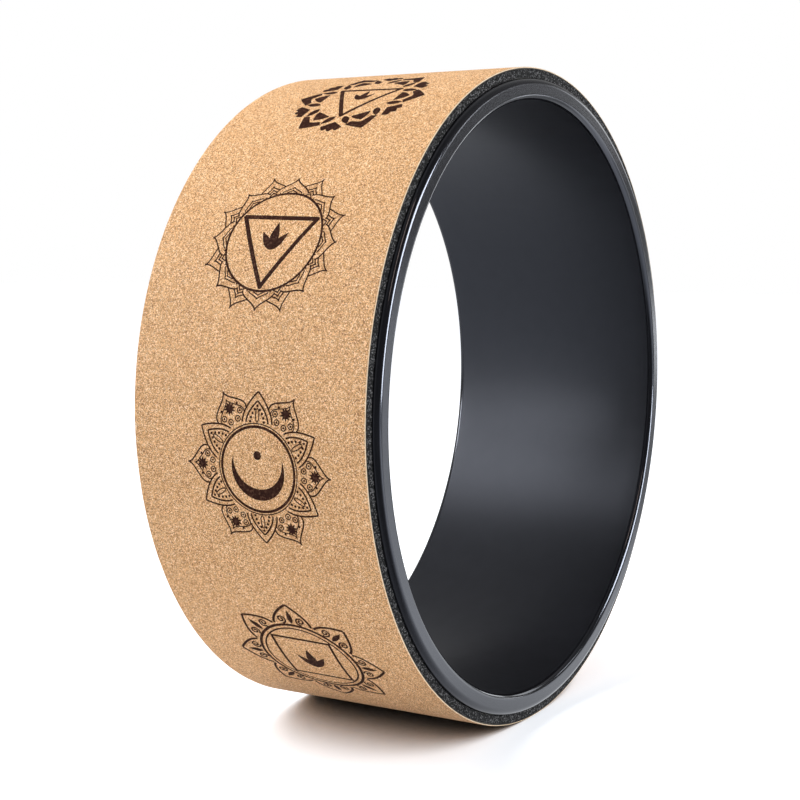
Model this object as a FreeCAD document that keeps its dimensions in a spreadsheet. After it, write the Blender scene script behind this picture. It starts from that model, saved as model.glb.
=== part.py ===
import FreeCAD, Part
import os
import Sketcher

# A yoga wheel: a rigid hoop wrapped in foam and then in cork, with a thin film between the layers.
# The wheel axis is Y, the origin is the centre of the wheel, and +Z is up as the wheel stands on its tread.

# Sizes in millimetres. Each is set once here and read from the sheet by everything below.
SIZES = {
    "bore_diameter": 298,
    "wall_thickness": 10.5,
    "ring_width": 130,
    "bore_edge_radius": 3,
    "rim_edge_radius": 3,
    "tape_thickness": 0.16,
    "foam_thickness": 4.1,
    "glue_thickness": 0.16,
    "cork_thickness": 1,
    "bond_clearance": 0.02,
    "tread_width": 124,
    "film_width": 122,
    "cork_edge_radius": 0.3,
    "seam_gap": 0.4,
    "standing_flat_width": 20,
}

doc = FreeCAD.newDocument("yoga_wheel")
sheet = doc.addObject("Spreadsheet::Sheet", "sheet")
for row, (alias, value) in enumerate(SIZES.items(), start=1):
    sheet.set("A%d" % row, alias)
    sheet.set("B%d" % row, str(value))
    sheet.setAlias("B%d" % row, alias)
doc.recompute()

# Inner radius of each layer, counted outwards from the bore: each layer sits on the one before it.
BORE = "sheet.bore_diameter / 2"
TAPE = BORE + " + sheet.wall_thickness + sheet.bond_clearance"
FOAM = TAPE + " + sheet.tape_thickness + sheet.bond_clearance"
GLUE = FOAM + " + sheet.foam_thickness + sheet.bond_clearance"
CORK = GLUE + " + sheet.glue_thickness + sheet.bond_clearance"

TREAD = CORK + " + sheet.cork_thickness"

# A wrapped sheet stops short of a full turn by the angle that its seam takes at the layer's inner radius.
SEAM_TURN = "360 - 180 / pi * sheet.seam_gap / (%s)"


def origin_plane(body, role):
    """The body's own origin plane with this role."""
    for feature in body.Origin.OriginFeatures:
        if feature.Role == role:
            return feature
    raise RuntimeError("no plane " + role)


def drive(sketch, constraint, name, expression):
    """Adds a named size to the sketch and ties it to the sheet."""
    index = sketch.addConstraint(constraint)
    sketch.renameConstraint(index, name)
    sketch.setExpression("Constraints." + name, expression)


def rectangle(sketch, corners):
    """Four joined sides through these corners; the first three are held level and upright."""
    points = [FreeCAD.Vector(x, y, 0) for x, y in corners]
    for i in range(4):
        sketch.addGeometry(Part.LineSegment(points[i], points[(i + 1) % 4]), False)
    for i in range(4):
        sketch.addConstraint(Sketcher.Constraint("Coincident", i, 2, (i + 1) % 4, 1))
    for side, kind in enumerate(("Horizontal", "Vertical", "Horizontal")):
        sketch.addConstraint(Sketcher.Constraint(kind, side))


def section_sketch(body, name, inner_radius, thickness, width):
    """A layer's cross-section: a rectangle beside the wheel axis, centred on the wheel's middle plane."""
    sketch = body.newObject("Sketcher::SketchObject", name)
    sketch.AttachmentSupport = [(origin_plane(body, "XY_Plane"), "")]
    sketch.MapMode = "FlatFace"
    # start near the final shape, so that the solver keeps the section on the +X side
    x0, x1, y1 = 150, 160, 60
    rectangle(sketch, [(x0, -y1), (x1, -y1), (x1, y1), (x0, y1)])
    # the two inner corners are mirror images about the X axis, which makes the inner side upright too
    sketch.addConstraint(Sketcher.Constraint("Symmetric", 0, 1, 2, 2, -1))
    drive(sketch, Sketcher.Constraint("DistanceX", -1, 1, 0, 1, x0), "inner_radius", inner_radius)
    drive(sketch, Sketcher.Constraint("DistanceX", 0, 1, 0, 2, x1 - x0), "thickness", thickness)
    drive(sketch, Sketcher.Constraint("DistanceY", 1, 1, 1, 2, 2 * y1), "width", width)
    return sketch


def hoop(label, inner_radius, thickness, width, turn=None):
    """One layer, turned about the wheel axis: closed, or with a seam at +X if a turn is given."""
    body = doc.addObject("PartDesign::Body", label)
    body.Label = label
    body.Placement = FreeCAD.Placement()
    sketch = section_sketch(body, label + "_section", inner_radius, thickness, width)
    doc.recompute()
    turned = body.newObject("PartDesign::Revolution", label + "_turned")
    turned.Profile = sketch
    turned.ReferenceAxis = (sketch, ["V_Axis"])
    turned.Angle = 360
    if turn:
        turned.setExpression("Angle", turn)
    sketch.Visibility = False
    doc.recompute()
    return body


def round_edges(body, name, circle_radius, edge_radius):
    """Rounds the two long edges of a layer that run at this distance from the wheel axis."""
    base = body.Tip
    wanted = []
    for i, edge in enumerate(base.Shape.Edges, start=1):
        curve = edge.Curve
        if isinstance(curve, Part.Circle) and abs(curve.Radius - circle_radius) < 0.001:
            wanted.append("Edge%d" % i)
    if len(wanted) != 2:
        raise RuntimeError("%s: %d edges found" % (name, len(wanted)))
    fillet = body.newObject("PartDesign::Fillet", name)
    fillet.Base = (base, wanted)
    fillet.setExpression("Radius", edge_radius)
    doc.recompute()


def inner_ring():
    """The rigid hoop, its edges eased at the bore, where hands pass, and at the rim beside the tread."""
    body = hoop("inner_ring", BORE, "sheet.wall_thickness", "sheet.ring_width")
    bore_radius = sheet.bore_diameter / 2
    round_edges(body, "bore_edges", bore_radius, "sheet.bore_edge_radius")
    round_edges(body, "rim_edges", bore_radius + sheet.wall_thickness, "sheet.rim_edge_radius")
    return body


def ring_tape():
    """Film between hoop and foam, on the back of the foam."""
    return hoop("ring_tape", TAPE, "sheet.tape_thickness", "sheet.film_width", SEAM_TURN % TAPE)


def foam_pad():
    """Foam sheet wrapped once round the hoop, ends butted."""
    return hoop("foam_pad", FOAM, "sheet.foam_thickness", "sheet.tread_width", SEAM_TURN % FOAM)


def cover_glue():
    """Film that joins the cork to the foam."""
    return hoop("cover_glue", GLUE, "sheet.glue_thickness", "sheet.film_width", SEAM_TURN % GLUE)


def standing_flat(body):
    """Takes the foot of the tread down to a narrow flat, as the soft layers settle where the wheel stands."""
    sketch = body.newObject("Sketcher::SketchObject", "standing_flat_section")
    sketch.AttachmentSupport = [(origin_plane(body, "XZ_Plane"), "")]
    sketch.MapMode = "FlatFace"
    # a block below the foot, as wide again as the flat on each side; only its upper side meets the tread
    side, top, bottom = 20, -160, -180
    rectangle(sketch, [(-side, bottom), (side, bottom), (side, top), (-side, top)])
    sketch.addConstraint(Sketcher.Constraint("Vertical", 3))
    reach = "sheet.standing_flat_width"
    drive(sketch, Sketcher.Constraint("DistanceX", 2, 2, -1, 1, side), "left_side", reach)
    drive(sketch, Sketcher.Constraint("DistanceX", -1, 1, 2, 1, side), "right_side", reach)
    drive(sketch, Sketcher.Constraint("DistanceY", 1, 1, 1, 2, top - bottom), "depth", reach)
    height = "sqrt((%s) ^ 2 - (sheet.standing_flat_width / 2) ^ 2)" % TREAD
    drive(sketch, Sketcher.Constraint("DistanceY", 2, 1, -1, 1, -top), "flat_height", height)
    doc.recompute()
    whole = body.Shape.Volume
    pocket = body.newObject("PartDesign::Pocket", "standing_flat")
    pocket.Profile = sketch
    pocket.Type = "Length"
    pocket.Midplane = True
    pocket.setExpression("Length", "2 * sheet.tread_width")
    sketch.Visibility = False
    doc.recompute()
    if not 0.98 * whole < body.Shape.Volume < whole:
        raise RuntimeError("standing flat cut the wrong side")


def cork_cover():
    """Cork sheet that goes round with the foam, ends butted at the same seam, outer edges eased."""
    body = hoop("cork_cover", CORK, "sheet.cork_thickness", "sheet.tread_width", SEAM_TURN % CORK)
    tread_radius = sheet.bore_diameter / 2 + sheet.wall_thickness + 4 * sheet.bond_clearance
    tread_radius += sheet.tape_thickness + sheet.foam_thickness + sheet.glue_thickness + sheet.cork_thickness
    round_edges(body, "cork_edges", tread_radius, "sheet.cork_edge_radius")
    standing_flat(body)
    return body


nodes = [inner_ring(), ring_tape(), foam_pad(), cover_glue(), cork_cover()]
doc.recompute()

# Nothing is exported unless every feature solved and every layer is one valid solid.
for thing in doc.Objects:
    if "Invalid" in thing.State or "Error" in thing.State:
        raise RuntimeError(thing.Name + " failed")
for node in nodes:
    shape = node.Shape
    if shape.isNull() or not shape.isValid() or len(shape.Solids) != 1:
        raise RuntimeError(node.Label + " is not one valid solid")

os.makedirs("parts", exist_ok=True)
for node in nodes:
    node.Shape.exportStep("parts/" + node.Label + ".step")
    print(node.Label, "volume", round(node.Shape.Volume), "mm3")
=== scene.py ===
import math

import bpy
import bmesh
import numpy as np
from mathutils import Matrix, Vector, noise


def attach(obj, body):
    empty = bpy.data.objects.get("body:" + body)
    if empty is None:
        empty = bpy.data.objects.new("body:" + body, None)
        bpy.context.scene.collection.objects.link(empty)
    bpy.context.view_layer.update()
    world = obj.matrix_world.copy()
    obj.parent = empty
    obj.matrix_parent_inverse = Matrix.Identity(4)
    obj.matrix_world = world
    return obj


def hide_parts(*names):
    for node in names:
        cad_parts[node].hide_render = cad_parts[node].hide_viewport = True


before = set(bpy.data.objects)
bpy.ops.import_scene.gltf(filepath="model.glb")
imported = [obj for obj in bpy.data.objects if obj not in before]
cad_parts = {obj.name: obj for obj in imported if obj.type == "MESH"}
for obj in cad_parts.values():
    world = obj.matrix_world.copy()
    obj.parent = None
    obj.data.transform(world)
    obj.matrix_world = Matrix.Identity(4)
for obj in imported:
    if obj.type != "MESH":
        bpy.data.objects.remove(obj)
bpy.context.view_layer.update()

# Sizes in millimetres, as in the solids; a film is counted with the clearances on both its sides
MM = 0.001
BORE_R = 149.0
WALL = 10.5
FILM = 0.2
FOAM = 4.1
CORK = 1.0
RING_HALF = 65.0
TREAD_HALF = 62.0
SEAM_GAP = 0.4
BORE_ROUND = 3.0
RIM_ROUND = 3.0

# Radii of the layers, counted outwards from the bore
RING_R = BORE_R + WALL
FOAM_IN = RING_R + FILM
FOAM_OUT = FOAM_IN + FOAM
CORK_IN = FOAM_OUT + FILM
CORK_R = CORK_IN + CORK

# Where the scene departs from the solids: a rim a little wider than deep, a rounder edge on the cork,
# and a foot that stays a hair inside the solids' box
RIM_EASE = 3.4
CORK_ROUND = 0.4
FLAT_Z = -164.696

# Mesh density
RING_STEPS = 960
FOAM_STEPS = 2600
CORK_STEPS = 1300


# Mesh helpers

def finish_mesh(name, points, faces, sharp_degrees):
    """Make an object from points in millimetres, with outward normals and smooth shading."""
    mesh = bpy.data.meshes.new(name)
    mesh.from_pydata((np.asarray(points) * MM).tolist(), [], faces)
    work = bmesh.new()
    work.from_mesh(mesh)
    bmesh.ops.recalc_face_normals(work, faces=work.faces)
    work.to_mesh(mesh)
    work.free()
    mesh.polygons.foreach_set("use_smooth", [True] * len(mesh.polygons))
    mesh.set_sharp_from_angle(angle=math.radians(sharp_degrees))
    piece = bpy.data.objects.new(name, mesh)
    bpy.context.scene.collection.objects.link(piece)
    return piece


def loop_faces(rows, columns, closed, first=0):
    """Quads between neighbouring closed loops, with end caps where the sweep is open."""
    faces = []
    last = rows if closed else rows - 1
    for i in range(last):
        here = first + i * columns
        there = first + ((i + 1) % rows) * columns
        for j in range(columns):
            k = (j + 1) % columns
            faces.append((here + j, there + j, there + k, here + k))
    if not closed:
        faces.append(tuple(first + j for j in range(columns)))
        end = first + (rows - 1) * columns
        faces.append(tuple(end + j for j in reversed(range(columns))))
    return faces


def around(radius, angle, y):
    """A point at a radius and an angle about the wheel's axis."""
    return (radius * math.cos(angle), y, radius * math.sin(angle))


def arc(centre_r, centre_y, radius, start, end, steps):
    """Points of a rounded corner in the section plane, angles in degrees from +r towards +y."""
    points = []
    for i in range(steps + 1):
        a = math.radians(start + (end - start) * i / steps)
        points.append((centre_r + radius * math.cos(a), centre_y + radius * math.sin(a)))
    return points


# The moulded ring

def turned_marks(step):
    """Depth of the fine turned marks on an end face, at one step across it."""
    fine = 0.004 * (1 + math.sin(step * 2.4))
    broad = 0.006 * max(0.0, math.sin(step * 0.9))
    return fine + broad


def ring_section():
    """The closed section of the ring: bore wall, then the far and the near end."""
    wall_steps = 14
    face_steps = 22
    corner_steps = 14
    inner = BORE_R + BORE_ROUND
    outer = RING_R - RIM_EASE
    section = []
    for i in range(1, wall_steps):
        section.append((BORE_R, -TREAD_HALF + 2 * TREAD_HALF * i / wall_steps))
    end = arc(inner, RING_HALF - BORE_ROUND, BORE_ROUND, 180, 90, corner_steps)
    for i in range(1, face_steps):
        end.append((inner + (outer - inner) * i / face_steps, RING_HALF - turned_marks(i)))
    for r, y in arc(0.0, RING_HALF - RIM_ROUND, RIM_ROUND, 90, 0, corner_steps):
        end.append((outer + r * RIM_EASE / RIM_ROUND, y))
    section += end
    section += [(r, -y) for r, y in reversed(end)]
    return section


def make_ring():
    """The section carried once round the axis."""
    section = ring_section()
    points = []
    for i in range(RING_STEPS):
        angle = 2 * math.pi * i / RING_STEPS
        points += [around(r, angle, y) for r, y in section]
    ring = finish_mesh("ring_shell", points, loop_faces(RING_STEPS, len(section), True), 60)
    return ring


# The foam layer

def foam_pits(angle, r, side):
    """How far the cut end of the foam stands back, in millimetres: small open cells."""
    cell = 0.62
    patch = 2.1
    wall_share = 0.35
    near = noise.voronoi(Vector((angle * r, r, side * 40.0)) / cell)[0]
    wall = min(1.0, (near[1] - near[0]) / wall_share)
    coarse = noise.noise(Vector((angle * r, r, side * 11.0)) / patch)
    return 0.11 * wall + 0.03 * coarse


def make_foam():
    """The wrapped foam with its two cut ends."""
    across = 12
    least_inset = 0.05
    start = SEAM_GAP / FOAM_IN
    points = []
    radii = [FOAM_IN + (FOAM_OUT - FOAM_IN) * i / across for i in range(across + 1)]
    for i in range(FOAM_STEPS):
        angle = start + (2 * math.pi - start) * i / (FOAM_STEPS - 1)
        for side, order in ((1, radii), (-1, radii[::-1])):
            for r in order:
                inset = least_inset + max(0.0, foam_pits(angle, r, side))
                points.append(around(r, angle, side * (TREAD_HALF - inset)))
    foam = finish_mesh("foam_layer", points, loop_faces(FOAM_STEPS, 2 * (across + 1), False), 70)
    return foam


# The cork cover

def cork_relief(angle, y):
    """Height of the cork surface over its mean radius, in millimetres."""
    arc_length = angle * CORK_R
    fine = noise.noise(Vector((arc_length, y, 3.0)) / 1.7)
    broad = noise.noise(Vector((arc_length, y, 9.0)) / 6.0)
    return 0.016 * fine + 0.012 * broad - 0.10


def cork_edge(angle, side):
    """How far the knife-cut edge wanders, in millimetres."""
    arc_length = angle * CORK_R
    fine = noise.noise(Vector((arc_length / 1.3, side * 7.0, 1.0)))
    slow = noise.noise(Vector((arc_length / 23.0, side * 5.0, 2.0)))
    return 0.07 * fine + 0.08 * slow - 0.12


def make_cork():
    """The wrapped cork: its back, its two cut edges and the uneven tread."""
    across = 122
    corner = 3
    cut_height = 0.35
    start = SEAM_GAP / CORK_IN
    top = CORK_R - CORK_ROUND
    points = []
    for i in range(CORK_STEPS):
        angle = start + (2 * math.pi - start) * i / (CORK_STEPS - 1)
        near = -TREAD_HALF - cork_edge(angle, -1)
        far = TREAD_HALF + cork_edge(angle, 1)
        loop = [(CORK_IN, near), (CORK_IN, 0.0), (CORK_IN, far), (CORK_IN + cut_height, far)]
        loop += arc(top, far - CORK_ROUND, CORK_ROUND, 90, 0, corner)
        for j in range(1, across):
            y = far - CORK_ROUND + (near - far + 2 * CORK_ROUND) * j / across
            loop.append((CORK_R, y))
        loop += arc(top, near + CORK_ROUND, CORK_ROUND, 0, -90, corner)
        loop.append((CORK_IN + cut_height, near))
        for r, y in loop:
            if r > CORK_IN:
                r += cork_relief(angle, y)
            x, y, z = around(r, angle, y)
            points.append((x, y, max(z, FLAT_Z)))
    columns = len(points) // CORK_STEPS
    return finish_mesh("cork_sheet", points, loop_faces(CORK_STEPS, columns, False), 55)


# Drawing on the tread: flat shapes in millimetres, x towards the near end and y up

class Print:
    """Ink shapes of one figure, laid on the tread around a centre."""
    sunk = -0.08
    raised = 0.035
    step = 0.7
    lean = math.radians(2.0)
    ink_spread = 1.3

    def __init__(self, angle_degrees, y):
        self.angle = math.radians(angle_degrees)
        self.y = y
        self.points = []
        self.faces = []
        self.shapes = 0

    def place(self, x, y, height):
        right = x * math.cos(self.lean) + y * math.sin(self.lean)
        up = y * math.cos(self.lean) - x * math.sin(self.lean)
        angle = self.angle - up / CORK_R
        across = self.y - right
        return around(CORK_R + cork_relief(angle, across) + height, angle, across)

    def strip(self, left, right, closed=False, across=1):
        """A filled band between two lists of points that run side by side."""
        self.shapes += 1
        top = self.raised + 0.0006 * (self.shapes % 23)
        first = len(self.points)
        for a, b in zip(left, right):
            row = []
            for k in range(across + 1):
                t = k / across
                row.append((a[0] + (b[0] - a[0]) * t, a[1] + (b[1] - a[1]) * t))
            self.points += [self.place(x, y, top) for x, y in row]
            self.points += [self.place(x, y, self.sunk) for x, y in reversed(row)]
        self.faces += loop_faces(len(left), 2 * (across + 1), closed, first)

    def line(self, path, width, closed=False):
        """A stroke of even width along a path."""
        path = even_path(path, self.step, closed)
        width *= self.ink_spread
        count = len(path)
        left = []
        right = []
        for i, (x, y) in enumerate(path):
            before = path[(i - 1) % count] if closed or i > 0 else path[i]
            after = path[(i + 1) % count] if closed or i < count - 1 else path[i]
            dx = after[0] - before[0]
            dy = after[1] - before[1]
            size = math.hypot(dx, dy)
            nx = -dy / size * width / 2
            ny = dx / size * width / 2
            left.append((x + nx, y + ny))
            right.append((x - nx, y - ny))
        self.strip(left, right, closed)

    def circle(self, radius, width, x=0.0, y=0.0):
        count = max(16, int(2 * math.pi * radius / self.step))
        turns = [2 * math.pi * i / count for i in range(count)]
        self.line([(x + radius * math.sin(a), y + radius * math.cos(a)) for a in turns], width, True)

    def polygon(self, corners, width):
        """Straight sides that overlap at the corners."""
        for i, a in enumerate(corners):
            b = corners[(i + 1) % len(corners)]
            size = math.hypot(b[0] - a[0], b[1] - a[1])
            ex = (b[0] - a[0]) / size * width * 0.45
            ey = (b[1] - a[1]) / size * width * 0.45
            self.line([(a[0] - ex, a[1] - ey), (b[0] + ex, b[1] + ey)], width)

    def leaf(self, base, tip, half_width):
        """A filled leaf from a base point to a tip, widest below its middle."""
        dx = tip[0] - base[0]
        dy = tip[1] - base[1]
        size = math.hypot(dx, dy)
        left = []
        right = []
        count = max(7, int(size / self.step))
        for i in range(count + 1):
            t = i / count
            w = max(0.06, half_width * math.sin(math.pi * t ** 0.8))
            x = base[0] + dx * t
            y = base[1] + dy * t
            left.append((x - dy / size * w, y + dx / size * w))
            right.append((x + dy / size * w, y - dx / size * w))
        self.strip(left, right, across=3)

    def dot(self, x, y, radius):
        count = 10
        left = []
        right = []
        for i in range(count + 1):
            a = math.pi * i / count
            w = max(0.05, radius * math.sin(a))
            left.append((x - radius * math.cos(a), y + w))
            right.append((x - radius * math.cos(a), y - w))
        self.strip(left, right, across=4)

    def build(self, name):
        return finish_mesh(name, self.points, self.faces, 40)


def even_path(path, step, closed):
    """The same path with points at most a step apart."""
    ends = path + path[:1] if closed else path
    result = []
    for a, b in zip(ends, ends[1:]):
        count = max(1, math.ceil(math.hypot(b[0] - a[0], b[1] - a[1]) / step))
        for i in range(count):
            result.append((a[0] + (b[0] - a[0]) * i / count, a[1] + (b[1] - a[1]) * i / count))
    if not closed:
        result.append(ends[-1])
    return result


def spot(turn, out, side=0.0):
    """A point out along a direction, turned clockwise from straight up, and to the right of it."""
    return (out * math.sin(turn) + side * math.cos(turn), out * math.cos(turn) - side * math.sin(turn))


# Outlines of a petal: share of its half width, from the base at 0 to the tip at 1

def arched(t):
    return 1 - t ** 1.8


def pinched(t):
    return math.cos(math.pi * t / 2) ** 2


def waved(t):
    """Full in the middle, then drawn in to a fine tip."""
    belly = 0.42
    if t < belly:
        return 1 - 0.37 * ((belly - t) / belly) ** 2
    return pinched((t - belly) / (1 - belly))


class Petals:
    """A ring of equal petals round a centre."""

    def __init__(self, count, inner, outer, half_width, outline, turn=0.0):
        self.turns = [turn + 2 * math.pi * i / count for i in range(count)]
        self.inner = inner
        self.outer = outer
        self.half_width = half_width
        self.outline = outline

    def covers(self, x, y):
        """Whether a point lies inside one of the petals."""
        for turn in self.turns:
            out = x * math.sin(turn) + y * math.cos(turn)
            side = x * math.cos(turn) - y * math.sin(turn)
            t = (out - self.inner) / (self.outer - self.inner)
            if 0 <= t <= 1 and abs(side) < self.half_width * self.outline(t):
                return True
        return False

    def side(self, turn, way):
        """One side of a petal, from base to tip."""
        count = 26
        path = []
        for i in range(count + 1):
            t = i / count
            out = self.inner + (self.outer - self.inner) * t
            path.append(spot(turn, out, way * self.half_width * self.outline(t)))
        return path

    def draw(self, ink, width, behind=None):
        """Strokes along the petals' sides, left out where a front ring covers them."""
        for turn in self.turns:
            for way in (-1, 1):
                run = []
                for point in self.side(turn, way):
                    if behind and behind.covers(*point):
                        if len(run) > 2:
                            ink.line(run, width)
                        run = []
                    else:
                        run.append(point)
                if len(run) > 2:
                    ink.line(run, width)

    def fill(self, ink):
        for turn in self.turns:
            ink.strip(self.side(turn, -1), self.side(turn, 1), across=6)


def inverted_triangle(radius):
    return [spot(math.radians(a), radius) for a in (60, 180, 300)]


def bud(ink, x, y, size):
    """A plain three-leaved bud."""
    base = (x, y - 0.5 * size)
    for lean, length, half_width in ((0, 1.0, 0.17), (-38, 0.8, 0.13), (38, 0.8, 0.13)):
        a = math.radians(lean)
        tip = (base[0] + size * length * math.sin(a), base[1] + size * length * math.cos(a))
        ink.leaf(base, tip, half_width * size)


def crescent(ink, radius, thick):
    """A lying crescent, thick in the middle, with its horns up."""
    left = []
    right = []
    count = 36
    for i in range(count + 1):
        a = math.radians(-112 + 224 * i / count)
        w = max(0.1, thick * math.cos(a * 90 / 112) ** 0.9)
        left.append((radius * math.sin(a), -radius * math.cos(a)))
        right.append(((radius - w) * math.sin(a), -(radius - w) * math.cos(a)))
    ink.strip(left, right, across=5)


def scroll(ink, turn, out, side):
    """A small scroll that winds in from the base of a petal."""
    radius = 2.6
    turns = 1.4
    count = 24
    path = []
    for i in range(count + 1):
        a = 2 * math.pi * turns * i / count
        r = radius * (1 - 0.75 * i / count)
        path.append(spot(turn, out - r * math.cos(a), side - math.copysign(r, side) * math.sin(a)))
    ink.line(path, 0.70)
    ink.dot(*path[-1], 0.62)


def oval(ink, turn, out, half_length, half_width, width):
    """The outline of a narrow oval along a direction."""
    turns = np.linspace(0, 2 * math.pi, 24, False)
    path = [(out + half_length * math.cos(a), half_width * math.sin(a)) for a in turns]
    ink.line([spot(turn, *point) for point in path], width, True)


def root_figure(ink):
    """Eight arched petals with scrolls round a double ring and a square."""
    ink.circle(25.9, 1.15)
    ink.circle(23.4, 0.7)
    side = 15.7
    ink.polygon([(side, side), (side, -side), (-side, -side), (-side, side)], 1.05)
    bud(ink, 0.0, 0.0, 15.0)
    petals = Petals(8, 26.0, 39.2, 10.1, arched)
    petals.draw(ink, 1.0)
    for turn in petals.turns:
        ink.leaf(spot(turn, 27.0), spot(turn, 35.6), 1.4)
        for side in (-5.2, 5.2):
            scroll(ink, turn, 29.2, side)


def sacral_figure(ink):
    """Six arched petals over six waved ones, filled with dots, rings and small flowers."""
    ink.circle(19.2, 0.95)
    ink.circle(20.6, 0.4)
    crescent(ink, 14.0, 5.2)
    ink.dot(0.0, 6.5, 2.0)
    front = Petals(6, 20.8, 34.6, 7.9, arched)
    back = Petals(6, 20.8, 38.0, 8.6, waved, math.pi / 6)
    front.draw(ink, 0.6)
    back.draw(ink, 0.55, behind=front)
    Petals(6, 20.8, 30.6, 5.8, arched).draw(ink, 0.62)
    Petals(6, 20.8, 34.4, 6.8, waved, math.pi / 6).draw(ink, 0.4, behind=front)
    dots = Petals(6, 20.8, 28.6, 3.7, arched)
    for turn in front.turns:
        oval(ink, turn, 24.2, 3.0, 0.95, 0.4)
        for way in (-1, 1):
            for point in dots.side(turn, way)[2:26:6]:
                ink.dot(*point, 0.62)
        ink.dot(*spot(turn, 28.4), 0.6)
    for turn in back.turns:
        middle = spot(turn, 29.9)
        ink.dot(*middle, 1.2)
        for a in np.linspace(0, 2 * math.pi, 10, False):
            ink.leaf(middle, (middle[0] + 3.2 * math.sin(a), middle[1] + 3.2 * math.cos(a)), 0.6)
        for way in (-1, 1):
            ink.dot(*spot(turn, 30.4, way * 4.6), 0.62)
            for out, side in ((26.9, 4.7), (24.2, 2.1)):
                ink.circle(1.25, 0.4, *spot(turn, out, way * side))
                ink.dot(*spot(turn, out, way * side), 0.5)


def navel_figure(ink):
    """Eight pinched petals over eight longer ones, with lines nested in each."""
    base = 24.8
    ink.circle(24.6, 0.85)
    ink.polygon(inverted_triangle(22.6), 1.65)
    bud(ink, 0.0, 2.0, 14.0)
    front = Petals(8, base, 33.6, 8.6, pinched)
    front.draw(ink, 0.55)
    for outer, half_width in ((28.4, 5.2), (26.7, 2.7)):
        Petals(8, base, outer, half_width, pinched).draw(ink, 0.45)
    for outer, half_width in ((36.0, 8.2), (31.0, 5.6), (28.8, 3.6), (27.0, 1.8)):
        Petals(8, base, outer, half_width, pinched, math.pi / 8).draw(ink, 0.5, behind=front)


def heart_figure(ink):
    """Six bold pointed petals with a leaf inside each, and palmettes between them."""
    ink.polygon(inverted_triangle(19.6), 1.6)
    bud(ink, 0.0, 2.5, 11.0)
    Petals(6, 20.6, 27.2, 4.7, arched, math.pi / 6).fill(ink)
    for i in range(6):
        bold_point(ink, math.pi / 3 * (i + 0.5))
        palmette(ink, math.pi / 3 * i)


def bold_point(ink, turn):
    """A thick chevron that points outwards."""
    count = 12
    outer = []
    inner = []
    for i in range(-count, count + 1):
        s = i / count
        outer.append(spot(turn, 35.4 - 7.6 * abs(s) ** 1.15, 7.8 * s))
        inner.append(spot(turn, 29.0 - 3.0 * abs(s) ** 1.2, 5.0 * s))
    ink.strip(outer, inner, across=3)


def palmette(ink, turn):
    """A small fan with a lobed edge, between two leaves."""
    count = 24
    outer = []
    inner = []
    for i in range(-count, count + 1):
        s = i / count
        lobes = 1.6 * abs(math.cos(1.5 * math.pi * s))
        outer.append(spot(turn, 29.6 + 1.9 * (1 - s * s) + lobes, 5.9 * s))
        inner.append(spot(turn, 25.2 + 4.2 * abs(s), 5.9 * s))
    ink.strip(outer, inner, across=4)
    for way in (-1, 1):
        ink.leaf(spot(turn, 20.2, 2.5 * way), spot(turn, 27.2, 7.5 * way), 1.9)


def throat_figure(ink):
    """Sixteen narrow petals round a double ring, a triangle and a disc."""
    ink.circle(22.5, 1.0)
    ink.circle(20.6, 0.5)
    ink.polygon(inverted_triangle(19.5), 1.0)
    ink.circle(8.0, 0.9)
    ink.dot(0.0, 0.0, 2.0)
    petals = Petals(16, 23.0, 36.0, 4.5, arched)
    petals.draw(ink, 0.6)
    for turn in petals.turns:
        ink.leaf(spot(turn, 24.5), spot(turn, 32.0), 0.9)


def brow_figure(ink):
    """Two broad petals, one on each side of a double ring and a triangle."""
    ink.circle(17.5, 1.1)
    ink.circle(15.6, 0.5)
    ink.polygon(inverted_triangle(14.5), 1.2)
    bud(ink, 0.0, 1.5, 9.0)
    wings = Petals(2, 14.0, 39.0, 12.5, waved, math.pi / 2)
    disc = Petals(1, -17.5, 17.5, 17.5, lambda t: math.sqrt(1 - (2 * t - 1) ** 2))
    wings.draw(ink, 0.95, behind=disc)
    Petals(2, 14.0, 34.5, 9.6, waved, math.pi / 2).draw(ink, 0.5, behind=disc)
    for turn in wings.turns:
        for lean in (-0.3, -0.15, 0.0, 0.15, 0.3):
            ink.leaf(spot(turn + lean, 20.5), spot(turn + 0.8 * lean, 29.0 - 14 * abs(lean)), 0.8)


def crown_figure(ink):
    """Three rows of twenty petals round a small rosette."""
    rows = ((14.5, 23.5, 3.0), (18.5, 30.0, 3.9), (24.5, 36.5, 5.0))
    ink.circle(14.0, 1.0)
    ink.circle(12.4, 0.5)
    shown = None
    for k, (inner, outer, half_width) in enumerate(rows):
        row = Petals(20, inner, outer, half_width, arched, k * math.pi / 20)
        row.draw(ink, 0.6, behind=shown)
        shown = row
    for i in range(8):
        turn = math.pi / 4 * i
        ink.leaf(spot(turn, 2.6), spot(turn, 10.5), 1.7)
    ink.dot(0.0, 0.0, 1.5)


# Name, drawing, angle round the wheel in degrees, place across the tread
FIGURES = (
    ("print_root", root_figure, 224.4, -2.3),
    ("print_sacral", sacral_figure, 186.9, -6.0),
    ("print_navel", navel_figure, 151.0, -1.6),
    ("print_heart", heart_figure, 116.6, -3.4),
    ("print_throat", throat_figure, 82.6, -3.4),
    ("print_brow", brow_figure, 48.6, -3.4),
    ("print_crown", crown_figure, 14.6, -3.4),
)


def make_prints():
    prints = []
    for name, draw, angle, y in FIGURES:
        ink = Print(angle, y)
        draw(ink)
        prints.append(ink.build(name))
    return prints


# Material helpers

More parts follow.
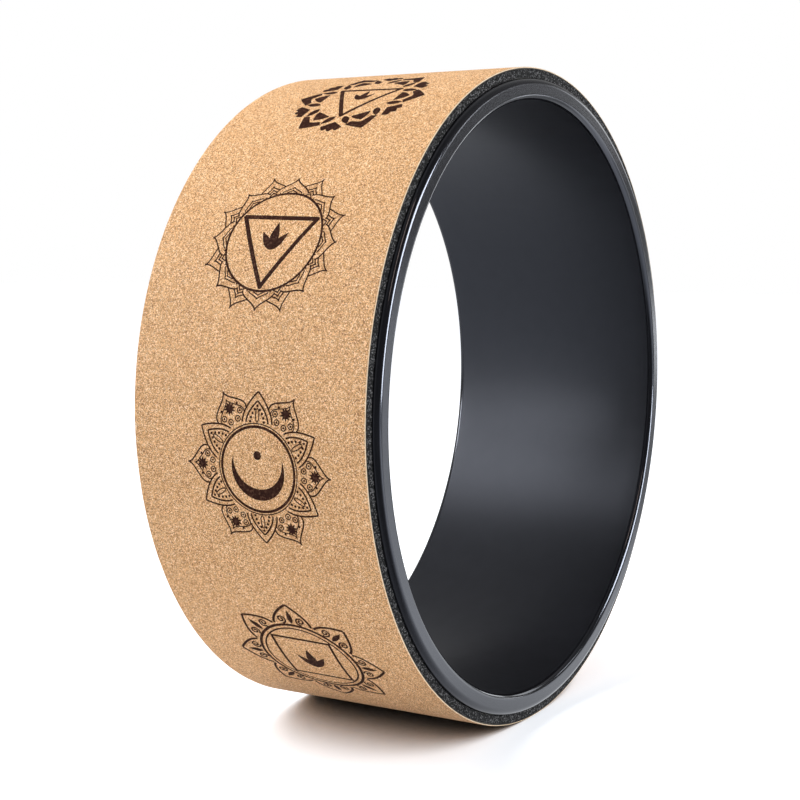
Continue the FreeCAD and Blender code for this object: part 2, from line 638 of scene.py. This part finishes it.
class Look:
    """A node material on a principled shader, with coordinates in millimetres."""

    def __init__(self, name, specular, ior=1.5):
        self.material = bpy.data.materials.new(name)
        self.material.use_nodes = True
        self.tree = self.material.node_tree
        self.shader = self.tree.nodes["Principled BSDF"]
        self.shader.inputs["Specular IOR Level"].default_value = specular
        self.shader.inputs["IOR"].default_value = ior
        place = self.tree.nodes.new("ShaderNodeTexCoord")
        scaled = self.tree.nodes.new("ShaderNodeVectorMath")
        scaled.operation = "SCALE"
        scaled.inputs["Scale"].default_value = 1 / MM
        self.tree.links.new(place.outputs["Object"], scaled.inputs[0])
        self.coordinates = scaled.outputs[0]

    def add(self, kind, inputs=None, **settings):
        node = self.tree.nodes.new(kind)
        for key, value in settings.items():
            setattr(node, key, value)
        for key, value in (inputs or {}).items():
            if hasattr(value, "is_linked"):
                self.tree.links.new(value, node.inputs[key])
            else:
                node.inputs[key].default_value = value
        return node

    def stretched(self, factors):
        """The coordinates, each multiplied by its own factor."""
        node = self.add("ShaderNodeVectorMath", {0: self.coordinates, 1: factors}, operation="MULTIPLY")
        return node.outputs[0]

    def noise(self, size, detail=3.0, factors=(1.0, 1.0, 1.0)):
        inputs = {"Vector": self.stretched(factors), "Scale": 1 / size, "Detail": detail, "Roughness": 0.55}
        node = self.add("ShaderNodeTexNoise", inputs)
        return node.outputs["Fac"]

    def cells(self, size):
        return self.add("ShaderNodeTexVoronoi", {"Vector": self.coordinates, "Scale": 1 / size})

    def cell_value(self, size):
        """One even random value for each grain."""
        split = self.add("ShaderNodeSeparateColor", {"Color": self.cells(size).outputs["Color"]})
        return split.outputs["Red"]

    def ramp(self, value, stops):
        node = self.add("ShaderNodeValToRGB", {"Fac": value})
        elements = node.color_ramp.elements
        while len(elements) < len(stops):
            elements.new(0.5)
        for element, (position, colour) in zip(elements, stops):
            element.position = position
            element.color = (*colour, 1.0)
        return node.outputs["Color"]

    def spread(self, value, low, high, start=0.0, end=1.0):
        node = self.add("ShaderNodeMapRange", {"Value": value, "From Min": start, "From Max": end,
                                               "To Min": low, "To Max": high})
        return node.outputs["Result"]

    def mix(self, factor, a, b, blend="MIX"):
        node = self.add("ShaderNodeMix", data_type="RGBA", blend_type=blend)
        for socket, value in ((node.inputs[0], factor), (node.inputs[6], a), (node.inputs[7], b)):
            if hasattr(value, "is_linked"):
                self.tree.links.new(value, socket)
            elif isinstance(value, tuple):
                socket.default_value = (*value, 1.0)
            else:
                socket.default_value = value
        return node.outputs[2]

    def math(self, operation, a, b=0.0):
        return self.add("ShaderNodeMath", {0: a, 1: b}, operation=operation).outputs[0]

    def axis(self, name):
        return self.add("ShaderNodeSeparateXYZ", {"Vector": self.coordinates}).outputs[name]

    def radius(self):
        """Distance from the wheel's axis."""
        flat = self.stretched((1.0, 0.0, 1.0))
        return self.add("ShaderNodeVectorMath", {0: flat}, operation="LENGTH").outputs["Value"]

    def bump(self, height, strength, distance_mm):
        inputs = {"Height": height, "Strength": strength, "Distance": distance_mm * MM}
        node = self.add("ShaderNodeBump", inputs)
        self.tree.links.new(node.outputs["Normal"], self.shader.inputs["Normal"])

    def connect(self, socket, value):
        self.tree.links.new(value, self.shader.inputs[socket])


def cork_grain(look):
    """Pressed cork: pale and tan grains, a few dark bark flecks, slow changes of tone."""
    grains = look.ramp(look.cell_value(0.40), (
        (0.0, (0.20, 0.083, 0.028)),
        (0.2, (0.43, 0.223, 0.090)),
        (0.5, (0.63, 0.349, 0.154)),
        (0.8, (0.83, 0.495, 0.246)),
        (1.0, (1.0, 0.760, 0.520)),
    ))
    clumps = look.ramp(look.cell_value(1.1), ((0.0, (0.97, 0.967, 0.96)), (1.0, (1.03, 1.033, 1.035))))
    fine = look.ramp(look.noise(0.22, 2.0), ((0.3, (0.70, 0.69, 0.67)), (0.7, (1.25, 1.26, 1.27))))
    slow = look.ramp(look.noise(38.0, 2.0), ((0.35, (0.98, 0.98, 0.975)), (0.65, (1.02, 1.02, 1.025))))
    colour = look.mix(1.0, grains, clumps, "MULTIPLY")
    colour = look.mix(1.0, colour, fine, "MULTIPLY")
    return look.mix(1.0, colour, slow, "MULTIPLY")


def cork_material():
    look = Look("cork_agglomerate", 0.25)
    colour = cork_grain(look)
    # Painted highlight: the cut edges and their rounded corners are paler than the tread, partly the cut
    # cork's own paler colour and partly a painted highlight that brings them near white
    edge = look.spread(look.math("ABSOLUTE", look.axis("Y")), 0.0, 0.95, 61.62, 61.74)
    pale_edge_and_highlight = look.ramp(look.cell_value(0.6), ((0.0, (0.94, 0.69, 0.45)), (1.0, (1.0, 0.84, 0.62))))
    # Painted shade: the back of the cork and the lower part of its cut edges, next to the glue and foam,
    # are near black
    shaded_back_mask = look.spread(look.radius(), 1.0, 0.0, CORK_IN + 0.30, CORK_IN + 0.44)
    painted_back_shade = look.ramp(look.cell_value(0.4), ((0.0, (0.010, 0.009, 0.008)), (1.0, (0.060, 0.050, 0.040))))
    look.connect("Base Color", look.mix(shaded_back_mask, look.mix(edge, colour, pale_edge_and_highlight), painted_back_shade))
    look.connect("Roughness", look.spread(look.noise(1.2), 0.62, 0.86, 0.3, 0.7))
    look.bump(look.cells(0.45).outputs["Distance"], 0.35, 0.07)
    return look.material


def ink_material():
    look = Look("print_ink", 0.05)
    worn = look.ramp(look.cell_value(0.95), (
        (0.0, (0.022, 0.0065, 0.0035)),
        (0.7, (0.036, 0.0125, 0.0070)),
        (1.0, (0.078, 0.034, 0.021)),
    ))
    fine = look.ramp(look.noise(0.5), ((0.3, (0.85, 0.85, 0.85)), (0.7, (1.15, 1.15, 1.15))))
    look.connect("Base Color", look.mix(1.0, worn, fine, "MULTIPLY"))
    look.connect("Roughness", look.spread(look.noise(0.8), 0.6, 0.82, 0.3, 0.7))
    look.bump(look.cells(0.95).outputs["Distance"], 0.3, 0.08)
    return look.material


def foam_material():
    look = Look("closed_cell_foam", 0.15)
    cells = look.ramp(look.cell_value(0.52), (
        (0.0, (0.0010, 0.0010, 0.0010)),
        (0.60, (0.004, 0.004, 0.004)),
        (0.76, (0.026, 0.026, 0.027)),
        (1.0, (0.230, 0.230, 0.238)),
    ))
    soft = look.ramp(look.noise(1.4), ((0.3, (0.75, 0.75, 0.75)), (0.7, (1.25, 1.25, 1.25))))
    look.connect("Base Color", look.mix(1.0, cells, soft, "MULTIPLY"))
    look.connect("Roughness", look.spread(look.noise(0.6), 0.7, 0.95, 0.3, 0.7))
    look.bump(look.cells(0.36).outputs["Distance"], 0.5, 0.12)
    return look.material


def ring_material():
    """Black moulded plastic: satin wall and end faces, shinier on the rounded edges."""
    look = Look("black_plastic", 0.5)
    tone = look.ramp(look.noise(9.0), ((0.3, (0.0050, 0.0050, 0.0062)), (0.7, (0.0072, 0.0072, 0.0090))))
    look.connect("Base Color", tone)
    satin = look.spread(look.noise(1.6, 3.0, factors=(1.0, 0.02, 1.0)), 0.325, 0.355, 0.3, 0.7)
    across = look.math("ABSOLUTE", look.axis("Y"))
    edge = look.spread(across, 0.0, 0.23, TREAD_HALF - 0.6, TREAD_HALF + 0.4)
    flat = look.spread(across, 0.0, 0.10, RING_HALF - 0.08, RING_HALF - 0.02)
    look.connect("Roughness", look.math("ADD", look.math("SUBTRACT", satin, edge), flat))
    look.bump(look.noise(0.7, 4.0), 0.02, 0.01)
    look.shader.inputs["Specular Tint"].default_value = (0.80, 0.85, 1.0, 1.0)
    return look.material


def film_material(name, tint):
    """A thin film of adhesive, cloudy and slightly uneven."""
    look = Look(name, 0.4)
    cloudy = look.ramp(look.noise(4.0, 4.0), ((0.3, tuple(0.82 * c for c in tint)), (0.7, tint)))
    look.connect("Base Color", cloudy)
    look.connect("Roughness", look.spread(look.noise(2.0), 0.3, 0.5, 0.3, 0.7))
    look.bump(look.noise(1.5), 0.15, 0.05)
    return look.material


# The studio

# Levels of the room: as light on surfaces,
# and in reflections in front on the left, in front on the right, and behind
ROOM_LIGHT = 0.62
ROOM_FRONT = 0.12
ROOM_RIGHT = 0.23
ROOM_BACK = 0.45

# Painted reflections: levels at which the floor glows in reflections only: in front of the wheel on the
# left and the right, and behind it, then the shares that stay far to the right, and on a strip of floor
# that runs out there to the front
FLOOR_LEFT = 0.15
FLOOR_RIGHT = 2.0
FLOOR_BACK = 0.95
FLOOR_FAR = 0.25
FLOOR_STRIP = 1.12
STRIP_START = 140.0
STRIP_SLOPE = 0.64

# How far around a point of the floor something can close it in, for the painted shade and the glow in
# reflections, in metres
FLOOR_REACH = 0.25

# Soft boxes that light the surfaces, and cards that only reflections show
# name, place, width, height, watts, colour
SOFT_BOXES = (
    ("top_box", (-0.40, 0.80, 1.30), 1.2, 1.2, 24.4, (1.0, 1.0, 1.0)),
    ("front_box", (0.50, -1.50, 0.60), 0.8, 0.8, 5.0, (1.0, 1.0, 1.0)),
)
CARDS = (
    ("low_card", (-0.89, 1.27, 0.39), 0.6, 0.46, 13.1, (1.0, 1.0, 1.0)),
    ("high_card", (-0.96, 0.86, 0.95), 0.5, 0.6, 3.6, (1.0, 1.0, 1.0)),
    ("left_low_card", (-1.50, 0.44, 0.33), 0.28, 0.42, 5.4, (1.0, 1.0, 1.0)),
    ("left_high_card", (-1.29, 0.38, 0.87), 0.28, 0.50, 4.6, (1.0, 1.0, 1.0)),
    ("front_card", (0.56, -1.37, 0.34), 0.45, 0.9, 32.0, (0.93, 0.96, 1.0)),
    ("edge_card", (1.39, -0.36, 0.358), 0.44, 0.3, 0.88, (0.95, 0.97, 1.0)),
    ("lip_card", (1.115, -0.918, 0.395), 0.24, 0.12, 0.63, (0.95, 0.97, 1.0)),
    ("bore_card", (1.37, -0.61, -0.065), 0.2, 0.1, 0.24, (0.95, 0.97, 1.0)),
    ("side_card", (1.48, -0.20, 0.00), 0.26, 0.2, 0.45, (0.95, 0.97, 1.0)),
    ("room_lamp", (-0.62, -0.92, 0.99), 0.08, 0.85, 2.4, (1.0, 0.74, 0.58)),
)


def area_light(name, place, width, height, watts, colour, mirrored):
    """A bright panel that faces the wheel, as light or as a reflection."""
    lamp = bpy.data.lights.new(name, "AREA")
    lamp.shape = "RECTANGLE"
    lamp.size = width
    lamp.size_y = height
    lamp.energy = watts
    lamp.color = colour
    holder = bpy.data.objects.new(name, lamp)
    holder.location = place
    holder.rotation_euler = Vector(place).to_track_quat("Z", "Y").to_euler()
    holder.visible_glossy = mirrored
    holder.visible_diffuse = not mirrored
    bpy.context.scene.collection.objects.link(holder)


def make_world():
    """White for camera rays, one level as light, and a room that is darker in front for reflections."""
    world = bpy.data.worlds.new("studio")
    world.use_nodes = True
    nodes = world.node_tree.nodes
    links = world.node_tree.links
    path = nodes.new("ShaderNodeLightPath")
    mirrored = nodes.new("ShaderNodeMath")
    mirrored.operation = "MAXIMUM"
    links.new(path.outputs["Is Glossy Ray"], mirrored.inputs[0])
    links.new(path.outputs["Is Transmission Ray"], mirrored.inputs[1])
    direction = nodes.new("ShaderNodeTexCoord")
    split = nodes.new("ShaderNodeSeparateXYZ")
    links.new(direction.outputs["Generated"], split.inputs[0])
    reflection_glow = nodes.new("ShaderNodeMapRange")
    reflection_glow.inputs["From Min"].default_value = -0.4
    reflection_glow.inputs["From Max"].default_value = 0.0
    front = nodes.new("ShaderNodeMapRange")
    front.inputs["From Min"].default_value = 0.1
    front.inputs["From Max"].default_value = 0.6
    front.inputs["To Min"].default_value = ROOM_FRONT
    front.inputs["To Max"].default_value = ROOM_RIGHT
    links.new(split.outputs["X"], front.inputs["Value"])
    links.new(front.outputs["Result"], reflection_glow.inputs["To Min"])
    reflection_glow.inputs["To Max"].default_value = ROOM_BACK
    links.new(split.outputs["Y"], reflection_glow.inputs["Value"])
    room = nodes.new("ShaderNodeMapRange")
    room.inputs["To Min"].default_value = ROOM_LIGHT
    links.new(reflection_glow.outputs["Result"], room.inputs["To Max"])
    links.new(mirrored.outputs[0], room.inputs["Value"])
    level = nodes.new("ShaderNodeMath")
    level.operation = "MAXIMUM"
    links.new(room.outputs["Result"], level.inputs[0])
    links.new(path.outputs["Is Camera Ray"], level.inputs[1])
    background = nodes["Background"]
    background.inputs["Color"].default_value = (1.0, 1.0, 1.0, 1.0)
    links.new(level.outputs[0], background.inputs["Strength"])
    bpy.context.scene.world = world


def make_floor():
    """White paper: it keeps the shadow, deepened near the wheel by painted shade, and glows in reflections
    at its own levels as a painted reflection.
    """
    size = 6.0
    mesh = bpy.data.meshes.new("studio_floor")
    z = FLAT_Z * MM
    corners = [(-size, -size, z), (size, -size, z), (size, size, z), (-size, size, z)]
    mesh.from_pydata(corners, [], [(0, 1, 2, 3)])
    floor = bpy.data.objects.new("studio_floor", mesh)
    bpy.context.scene.collection.objects.link(floor)
    look = Look("studio_paper", 0.2)
    open_sky = look.add("ShaderNodeAmbientOcclusion", {"Distance": FLOOR_REACH}, samples=32).outputs["AO"]
    tone = look.ramp(look.noise(60.0), ((0.3, (0.885, 0.90, 0.93)), (0.7, (0.915, 0.93, 0.96))))
    # Painted shade: the paper's colour darkens where little open sky is near it, under and beside the wheel
    painted_contact_shade = look.spread(open_sky, 0.02, 1.0, 0.035, 0.135)
    path = look.add("ShaderNodeLightPath")
    mirrored = look.math("MAXIMUM", path.outputs["Is Glossy Ray"], path.outputs["Is Transmission Ray"])
    paper_shade_factor = look.math("MULTIPLY", painted_contact_shade, look.math("SUBTRACT", 1.0, mirrored))
    look.connect("Base Color", look.mix(1.0, tone, paper_shade_factor, "MULTIPLY"))
    look.shader.inputs["Roughness"].default_value = 0.6
    look.shader.inputs["Emission Color"].default_value = (0.92, 0.95, 1.0, 1.0)
    lift = look.spread(open_sky, 0.0, 0.55, 0.135, 0.36)
    lift = look.math("MULTIPLY", lift, path.outputs["Is Camera Ray"])
    # Painted reflection: the floor glows in reflections only, brightest in front on the right and along a
    # strip out to the front
    front = look.spread(look.axis("X"), FLOOR_LEFT, FLOOR_RIGHT, -150.0, 50.0)
    reflection_glow = look.spread(look.axis("Y"), front, FLOOR_BACK, -200.0, 100.0)
    far = look.spread(look.axis("X"), 1.0, FLOOR_FAR, 200.0, 650.0)
    slope = look.math("DIVIDE", look.math("ADD", look.axis("Y"), STRIP_START), look.axis("X"))
    off_strip = look.math("ABSOLUTE", look.math("ADD", slope, STRIP_SLOPE))
    strip = look.spread(off_strip, FLOOR_STRIP, 0.0, 0.10, 0.22)
    reflection_glow = look.math("MULTIPLY", reflection_glow, look.math("MAXIMUM", far, strip))
    reflection_glow = look.math("MULTIPLY", look.math("MULTIPLY", reflection_glow, painted_contact_shade), mirrored)
    look.connect("Emission Strength", look.math("ADD", lift, reflection_glow))
    look.material.cycles.emission_sampling = "NONE"
    mesh.materials.append(look.material)


def make_camera():
    """The photo's view, from the left of the near end and a little above the axis."""
    camera = bpy.data.cameras.new("photo_camera")
    camera.sensor_width = 36.0
    camera.lens = 69.31
    camera.shift_x = -0.04
    camera.shift_y = -0.01
    camera.clip_start = 0.01
    holder = bpy.data.objects.new("photo_camera", camera)
    azimuth = math.radians(-60.326)
    elevation = math.radians(5.6466)
    distance = 0.81291
    level = math.cos(elevation)
    back = Vector((math.sin(azimuth) * level, -math.cos(azimuth) * level, math.sin(elevation)))
    holder.location = back * distance
    holder.rotation_euler = back.to_track_quat("Z", "Y").to_euler()
    bpy.context.scene.collection.objects.link(holder)
    bpy.context.scene.camera = holder


# Build

ring = make_ring()
foam = make_foam()
cork = make_cork()
prints = make_prints()

for piece, look in ((ring, ring_material()), (foam, foam_material()), (cork, cork_material())):
    piece.data.materials.append(look)
ink = ink_material()
for piece in prints:
    piece.data.materials.append(ink)

layers = ((ring, "inner_ring", "ring_plastic"), (foam, "foam_pad", "foam"), (cork, "cork_cover", "cork"))
for piece, node, slot in layers:
    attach(piece, "root")
    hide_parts(node)
for piece in prints:
    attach(piece, "root")

for node, look in (("ring_tape", film_material("tape_film_look", (0.60, 0.57, 0.50))),
                   ("cover_glue", film_material("glue_film_look", (0.62, 0.50, 0.33)))):
    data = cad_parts[node].data
    data.materials.clear()
    data.materials.append(look)

make_floor()
make_world()
for lamps, mirrored in ((SOFT_BOXES, False), (CARDS, True)):
    for lamp in lamps:
        area_light(*lamp, mirrored)
make_camera()
bpy.context.scene.view_settings.view_transform = "Standard"
